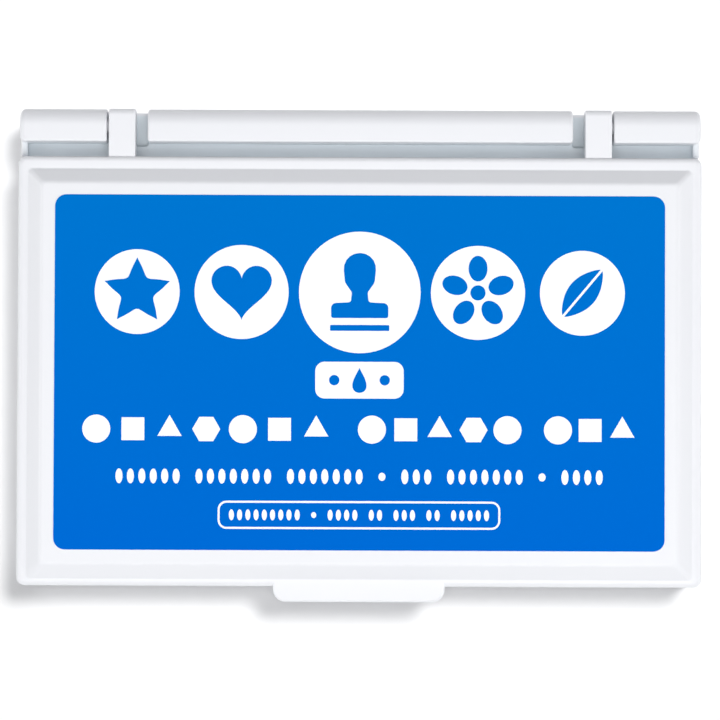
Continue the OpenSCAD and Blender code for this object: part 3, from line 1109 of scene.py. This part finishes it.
def hand_stamp(x, y, size):
    """A rubber stamp from the side: knob, neck and block, with its printed line below."""
    half = rounded_path([
        (0, 0.8, 0), (0.36, 0.8, 0.32), (0.3, 0.2, 0.2), (0.16, 0, 0.08), (0.18, -0.2, 0.06),
        (0.58, -0.22, 0.1), (0.58, -0.52, 0.05), (0, -0.52, 0),
    ])
    body = [(p.x, p.y) for p in half] + [(-p.x, p.y) for p in reversed(half[1:-1])]
    printed_line = bar(x, y - 0.72 * size, 1.2 * size, 0.12 * size, 0.2)
    return [[(x + u * size, y + v * size) for u, v in body], printed_line]


# %% [markdown]
# Below the pictures run rows of small marks. They repeat, so one Geometry Nodes tree prints them: points
# in a line, and on each a low prism with a given number of sides, stretched to a given width and height.

# %% A tree that prints a row of marks


def mark_tree(name, material):
    tree = new_tree(name, [
        ("Count", "NodeSocketInt", 1),
        ("Start", "NodeSocketVector", (0, 0, 0)),
        ("Step", "NodeSocketVector", (0, 0, 0)),
        ("Sides", "NodeSocketInt", 20),
        ("Size", "NodeSocketVector", (1, 1, 1)),
        ("Turn", "NodeSocketFloat", 0),
    ])
    given = add_node(tree, "NodeGroupInput").outputs
    line = add_node(tree, "GeometryNodeMeshLine", links={
        "Count": given["Count"], "Start Location": given["Start"], "Offset": given["Step"],
    })
    prism = add_node(tree, "GeometryNodeMeshCylinder", {"Radius": 0.5, "Depth": 1.0}, {
        "Vertices": given["Sides"],
    })
    angle = add_node(tree, "ShaderNodeCombineXYZ", links={"Z": given["Turn"]})
    turned_prism = add_node(tree, "GeometryNodeTransform", links={
        "Geometry": prism.outputs["Mesh"], "Rotation": angle.outputs["Vector"],
    })
    row = add_node(tree, "GeometryNodeInstanceOnPoints", links={
        "Points": line.outputs["Mesh"], "Instance": turned_prism.outputs["Geometry"], "Scale": given["Size"],
    })
    close_tree(tree, row.outputs["Instances"], material)
    return tree


print_marks = mark_tree("print_marks", white_ink)


def mark_row(tree, count, start, pitch, sides, size, turn=0.0):
    return grow("marks", tree, {
        "Count": count, "Start": Vector(start) * MM, "Step": Vector((pitch * MM, 0, 0)),
        "Sides": sides, "Size": Vector(size) * MM, "Turn": turn,
    })


# %% [markdown]
# A row of shapes takes one kind of prism after another, and a row of dashes is set in groups with a gap
# between them, so that the rows read as print without saying anything.

# %% Rows of marks
MARK_KINDS = [(32, 0.0), (4, math.pi / 4), (3, math.pi / 2), (6, 0.0)]
MARK_SIZE = 4.9


def shape_group(x0, x1, count, y):
    """Discs, squares, triangles and hexagons in turn, from x0 to x1."""
    pitch = (x1 - x0) / (count - 1)
    rows = []
    for kind, (sides, turn) in enumerate(MARK_KINDS):
        number = len(range(kind, count, len(MARK_KINDS)))
        if number == 0:
            continue
        across = MARK_SIZE * (1.15 if sides == 4 else 1)
        start = (label_x + x0 + kind * pitch, label_y + y, white_z + INK / 2)
        rows.append(mark_row(
            print_marks, number, start, pitch * len(MARK_KINDS), sides, (across, across, INK), turn
        ))
    return rows


def dash_line(groups, half_width, y, height):
    """Groups of upright rounded dashes. A group of 0 is a round dot."""
    slots = sum(max(count, 1) for count in groups) + len(groups) - 1
    pitch = 2 * half_width / (slots - 1)
    rows, slot = [], 0
    for count in groups:
        start = (label_x - half_width + slot * pitch, label_y + y, white_z + INK / 2)
        tall = height if count else 0.55 * height
        rows.append(mark_row(print_marks, max(count, 1), start, pitch, 20, (0.62 * pitch, tall, INK)))
        slot += max(count, 1) + 1
    return rows


ROW_Y = -9.9
marks = [
    *shape_group(-45.8, -7.5, 7, ROW_Y),
    *shape_group(2.2, 25.8, 5, ROW_Y),
    *shape_group(34.6, 45.8, 3, ROW_Y),
    *dash_line([6, 7, 7, 0, 3, 7, 0, 4], 41.8, -18.1, 2.6),
    *dash_line([9, 0, 4, 2, 3, 2, 5], 22.2, -24.8, 1.9),
]

# %% [markdown]
# A thin line with round ends frames the last row, and the pictures sit on white discs in one straight row.

# %% Label: film and print
FRAME_W, FRAME_D, FRAME_Y, FRAME_LINE = 49.2, 4.9, -24.8, 0.35
DISC_Y = 14
PICTURES = [  # what is drawn, its x, its disc's radius and its own size
    (star, -38.8, 7.4, 6),
    (heart, -20.6, 8.2, 5.6),
    (hand_stamp, 0, 10.6, 8.6),
    (flower, 20.6, 8.2, 6.6),
    (leaf, 38.8, 7.4, 5.2),
]
CHIP_Y = -1.3
DROP, DOT, DOT_X = 2.2, 0.9, 4.4
LABEL_CORNER = 2


def frame_line():
    radius = FRAME_D / 2 - 0.9
    sizes = [(0, white_z), (0, white_z + INK), (FRAME_LINE, white_z + INK), (FRAME_LINE, white_z)]
    rings = [ring(FRAME_W - 2 * u, FRAME_D - 2 * u, radius - u, label_y + FRAME_Y, z) for u, z in sizes]
    line = loft("frame_line", rings, endless=True)
    line.data.transform(Matrix.Translation((label_x * MM, 0, 0)))
    return line


film_high = (label_high.x, label_high.y, label_low.z + FILM)
film = block("label_film", label_low, film_high, LABEL_CORNER, 0, 0.04)
film.data.materials.append(blue_film)
smooth(film)
chips = [disc(x, DISC_Y, radius) for _, x, radius, _ in PICTURES] + [bar(0, CHIP_Y, 15.4, 6.4, 1.6)]
white_print = gather("label_white_print", [plate("chips", chips, white_z), frame_line(), *marks], white_ink)
pictures = [outline for draw, x, _, size in PICTURES for outline in draw(x, DISC_Y, size)]
pictures += [*drop(0, CHIP_Y, DROP), disc(-DOT_X, CHIP_Y, DOT), disc(DOT_X, CHIP_Y, DOT)]
blue_print = gather("label_blue_print", [plate("pictures", pictures, blue_z)], blue_ink)

# %% [markdown]
# ## The underside label
# A blank paper label sits in a shallow recess in the middle of the base.

# %% Underside label
paper = block("paper_label", under_low, under_high, 1.5, 0.02, 0.02)
paper.data.materials.append(label_paper)
smooth(paper)

# %% [markdown]
# ## The pad's cassette
# The pad is made apart from the case: a thin thermoformed tray holds it, and two strips of tape hold the
# tray down in the well. The tray's corners are generous inside and out, because a heated sheet can't be
# drawn into a sharp corner.

# %% Tray and tape
tray_low, tray_high = (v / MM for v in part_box("pad_tray"))
TRAY_WALL = 1
tray = block("cassette_tray", tray_low, tray_high, 2.8, 0.7, 0.35)
tray_cut = block(
    "tray_cut", (tray_low.x + TRAY_WALL, tray_low.y + TRAY_WALL, tray_low.z + TRAY_WALL),
    (tray_high.x - TRAY_WALL, tray_high.y - TRAY_WALL, tray_high.z + PAST), 1.8, 0.5, 0,
)
combine(tray, "DIFFERENCE", tray_cut)
tray.data.materials.clear()
tray.data.materials.append(tray_plastic)
smooth(tray)

tape_low, tape_high = (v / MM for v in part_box("tray_tape"))
TAPE_WIDTH = 12


def tape_strip(y0):
    low = (tape_low.x, y0, tape_low.z)
    return block("tape", low, (tape_high.x, y0 + TAPE_WIDTH, tape_high.z), 0.5, 0.05, 0.05)


tape = gather("tape_strips", [tape_strip(tape_low.y), tape_strip(tape_high.y - TAPE_WIDTH)], cream_tape)

# %% [markdown]
# ## Felt and cloth
# Two felts store the ink, and a cotton cover is stretched over them. All three start as a block on an even
# grid whose edges are then pushed onto a radius. A loft would need fewer faces, but cloth only bends well
# where its faces are nearly square.

# %% A rounded block on an even grid


def grid_tree():
    tree = new_tree("even_grid", [
        ("Size", "NodeSocketVector", (1, 1, 1)),
        ("Along X", "NodeSocketInt", 2),
        ("Along Y", "NodeSocketInt", 2),
        ("Along Z", "NodeSocketInt", 2),
    ])
    given = add_node(tree, "NodeGroupInput").outputs
    box = add_node(tree, "GeometryNodeMeshCube", links={
        "Size": given["Size"], "Vertices X": given["Along X"], "Vertices Y": given["Along Y"],
        "Vertices Z": given["Along Z"],
    })
    close_tree(tree, box.outputs["Mesh"], None)
    return tree


even_grid = grid_tree()


def grid_block(name, low, high, cell, radius):
    """A block of square faces. The attribute thread_place notes each point's place on an unfolded sheet."""
    size = [high[i] - low[i] for i in range(3)]
    counts = [max(2, round(length / cell) + 1) for length in size]
    piece = grow(name, even_grid, {
        "Size": Vector(size) * MM, "Along X": counts[0], "Along Y": counts[1], "Along Z": counts[2],
    })
    half = [length / 2 for length in size]
    middle = Vector([(low[i] + high[i]) / 2 for i in range(3)])
    note = piece.data.attributes.new("thread_place", "FLOAT_VECTOR", "POINT")
    for vertex, place in zip(piece.data.vertices, note.data):
        point = vertex.co / MM
        fallen = half[2] - point.z
        flat = [point[i] + math.copysign(fallen, point[i]) * (abs(point[i]) > half[i] - 0.01) for i in (0, 1)]
        place.vector = (flat[0] * MM, flat[1] * MM, 0)
        core = Vector([max(-half[i] + radius, min(half[i] - radius, point[i])) for i in range(3)])
        away = point - core
        if away.length > 0:
            point = core + away.normalized() * radius
        vertex.co = (point + middle) * MM
    piece.data.update()
    return piece


# %% [markdown]
# The lower felt is a plain block. The upper one bulges a little in the middle, as a stuffed pad does, so
# its points are raised by a smooth formula: most at the top, and not at all at the foot.

# %% Felts
FELT_CELL = 2
FELT_EDGE = 1.6
CROWN = 0.4


def crown(point, low, high):
    """How far a stuffed pad's top rises at a point: most in the middle, nothing at the edges."""
    across = (2 * point.x - low.x - high.x) / (high.x - low.x)
    along = (2 * point.y - low.y - high.y) / (high.y - low.y)
    return CROWN * max(0, 1 - across ** 4) * max(0, 1 - along ** 4)


def felt_pad(name, node, crowned):
    low, high = (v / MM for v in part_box(node))
    piece = grid_block(name, low, high, FELT_CELL, min(FELT_EDGE, (high.z - low.z) / 4))
    for vertex in piece.data.vertices:
        point = vertex.co / MM
        if crowned:
            vertex.co.z += crown(point, low, high) * (point.z - low.z) / (high.z - low.z) * MM
    piece.data.materials.clear()
    piece.data.materials.append(inked_felt)
    piece.data.shade_smooth()
    print(f"{name}: {len(piece.data.polygons)} faces")
    return piece


lower_felt = felt_pad("lower_felt", "felt_reservoir", False)
upper_felt = felt_pad("upper_felt", "felt_top", True)

# %% [markdown]
# The cover is simulated: it is held below the felt's edge, and a pressure from inside swells it as the
# felt would. How far a point may move is capped, so the pad keeps its height. Wet cloth also puckers where
# it is folded in at the corners, and those small folds are added after the simulation.

# %% Cloth cover
CLOTH_CELL = 1.3
CLOTH = 0.5
COVER_EDGE = 1.9
HELD_BELOW = 9.5
SWELL = 0.5
MOST_GAIN = 50  # a cloth that hardly moved isn't blown up by more than this
SIM_FRAMES = 20
cover_low, cover_high = (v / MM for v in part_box("pad_cloth"))


def open_below(piece, level):
    shape = bmesh.new()
    shape.from_mesh(piece.data)
    under = [face for face in shape.faces if face.calc_center_median().z < level * MM]
    bmesh.ops.delete(shape, geom=under, context="FACES")
    shape.to_mesh(piece.data)
    shape.free()


def swell(piece):
    """Presses the cloth outwards in a short simulation and keeps a capped share of the movement."""
    flat = [vertex.co.copy() for vertex in piece.data.vertices]
    held = piece.vertex_groups.new(name="held")
    held.add([v.index for v in piece.data.vertices if v.co.z < HELD_BELOW * MM], 1.0, "REPLACE")
    modifier = piece.modifiers.new("stretch", "CLOTH")
    settings = modifier.settings
    settings.quality = 8
    settings.mass = 0.001
    settings.vertex_group_mass = "held"
    settings.use_pressure = True
    settings.uniform_pressure_force = 6
    settings.effector_weights.gravity = 0
    modifier.collision_settings.use_self_collision = False
    modifier.point_cache.frame_start, modifier.point_cache.frame_end = 1, SIM_FRAMES
    for number in range(1, SIM_FRAMES + 1):
        bpy.context.scene.frame_set(number)
    evaluated = piece.evaluated_get(bpy.context.evaluated_depsgraph_get())
    moved = [vertex.co.copy() for vertex in evaluated.data.vertices]
    piece.modifiers.clear()
    piece.vertex_groups.clear()
    bpy.context.scene.frame_set(1)
    most = max((a - b).length for a, b in zip(moved, flat))
    share = min(SWELL * MM / most, MOST_GAIN) if most > 0 else 0
    for vertex, start, end in zip(piece.data.vertices, flat, moved):
        vertex.co = start + (end - start) * share
    print(f"cloth moved {most / MM:.3f} mm, of which {share:.2f} is kept")


def pucker(piece):
    """Small upright folds on the sides near the corners, above the tray."""
    reach, fold, depth, foot = 9, 2.6, 0.22, 8.2
    half_depth = (cover_high.y - cover_low.y) / 2
    for vertex in piece.data.vertices:
        point = vertex.co / MM
        to_side = Vector((cover_high.x - abs(point.x), half_depth - abs(point.y - mid_y)))
        along, off = max(to_side), min(to_side)
        if off > 0.3 or along > reach or point.z < foot:
            continue
        fade = (1 - along / reach) * math.sin(math.pi * min(1, (point.z - foot) / (cover_high.z - foot)))
        push = depth * fade * (0.5 + 0.5 * math.sin(math.tau * along / fold))
        if to_side.x < to_side.y:
            outward = Vector((math.copysign(1, point.x), 0, 0))
        else:
            outward = Vector((0, math.copysign(1, point.y - mid_y), 0))
        vertex.co += outward * push * MM


cover = grid_block("cotton_cover", cover_low, cover_high, CLOTH_CELL, COVER_EDGE)
open_below(cover, cover_low.z + 0.3)
swell(cover)
pucker(cover)
thickness = cover.modifiers.new("thickness", "SOLIDIFY")
thickness.thickness = CLOTH * MM
thickness.offset = -1
settle(cover)
cover.data.materials.clear()
cover.data.materials.append(inked_cotton)
cover.data.shade_smooth()
print(f"cotton_cover: {len(cover.data.polygons)} faces")

# %% [markdown]
# ## Which piece rides on what
# Each piece stands for a part of the frame and moves with one of its two bodies.

# %% Bodies
PIECES = [
    (lid, "lid", "case_lid", "case_plastic"),
    (film, "lid_label", "case_lid", "label_film"),
    (white_print, None, "case_lid", "label_film"),
    (blue_print, None, "case_lid", "label_film"),
    (base, "base", "case_base", "case_plastic"),
    (paper, "underside_label", "case_base", "label_paper"),
    (tray, "pad_tray", "case_base", "tray_plastic"),
    (tape, "tray_tape", "case_base", "tape"),
    (lower_felt, "felt_reservoir", "case_base", "felt"),
    (upper_felt, "felt_top", "case_base", "felt"),
    (cover, "pad_cloth", "case_base", "pad_cloth"),
]
for piece, node, body, finish_slot in PIECES:
    if node:
        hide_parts(node)
    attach(piece, body)

# %% [markdown]
# ## Stage and light
# The pad lies on a white table under a large soft light, high up and a little to the front. The table has
# two lights of its own. One comes from straight above and keeps it white. The other stands behind on the
# right and lays a short shadow to the front and left. Light linking keeps them apart: each lamp names what
# it lights. The light in front is also kept out of reflections, because its mirror image would fall on the
# near side of the glossy lid and bleach it.

# %% Floor and lamps
KEY_PLACE = (0.089, -0.4, 0.912)
KEY_POWER = 5.4
TOP_POWER = 5.0
FILL_POWER = 2.5
SKY = 0.15
TABLE_TOP = 0.95
TABLE_SUN = 1.95
TABLE_SUN_FROM = (0.26, 0.25, 1)
TABLE_SPREAD = math.radians(14)

bpy.context.scene.view_settings.view_transform = "Standard"
world = bpy.data.worlds.new("studio")
bpy.context.scene.world = world
world.use_nodes = True
sky = world.node_tree.nodes["Background"]
sky.inputs["Color"].default_value = linear("#F4F7FF")
sky.inputs["Strength"].default_value = SKY

floor_mesh = bpy.data.meshes.new("table")
floor_mesh.from_pydata([(-3, -3, 0), (3, -3, 0), (3, 3, 0), (-3, 3, 0)], [], [(0, 1, 2, 3)])
floor = bpy.data.objects.new("table", floor_mesh)
bpy.context.collection.objects.link(floor)
floor.data.materials.append(new_material("matt_white_table", "#FFFFFF", {"Roughness": 0.95})[0])


def only(name, state):
    """A collection that tells a lamp to light only the table (INCLUDE), or all but the table (EXCLUDE)."""
    group = bpy.data.collections.new(name)
    group.objects.link(floor)
    group.collection_objects[0].light_linking.link_state = state
    return group


def lamp(name, kind, place, settings, receivers):
    """A lamp aimed at the middle of the case."""
    data = bpy.data.lights.new(name, kind)
    for key, value in settings.items():
        setattr(data, key, value)
    light = bpy.data.objects.new(name, data)
    bpy.context.collection.objects.link(light)
    light.location = place
    light.rotation_euler = (-Vector(place)).to_track_quat("-Z", "Y").to_euler()
    light.light_linking.receiver_collection = receivers
    return light


not_table = only("all_but_table", "EXCLUDE")
table_only = only("table_only", "INCLUDE")
key = lamp("key", "AREA", KEY_PLACE, {"size": 0.5, "energy": KEY_POWER}, not_table)
key.visible_glossy = False
lamp("top", "AREA", (0, 0, 1.2), {"size": 1.2, "energy": TOP_POWER}, not_table)
for side, x in (("left", -0.9), ("right", 0.9)):
    lamp(f"fill_{side}", "AREA", (x, 0, 0.45), {"size": 0.6, "energy": FILL_POWER}, not_table)
lamp("table_top", "SUN", (0, 0, 1), {"energy": TABLE_TOP, "angle": TABLE_SPREAD}, table_only)
lamp("table_sun", "SUN", TABLE_SUN_FROM, {"energy": TABLE_SUN, "angle": TABLE_SPREAD}, table_only)
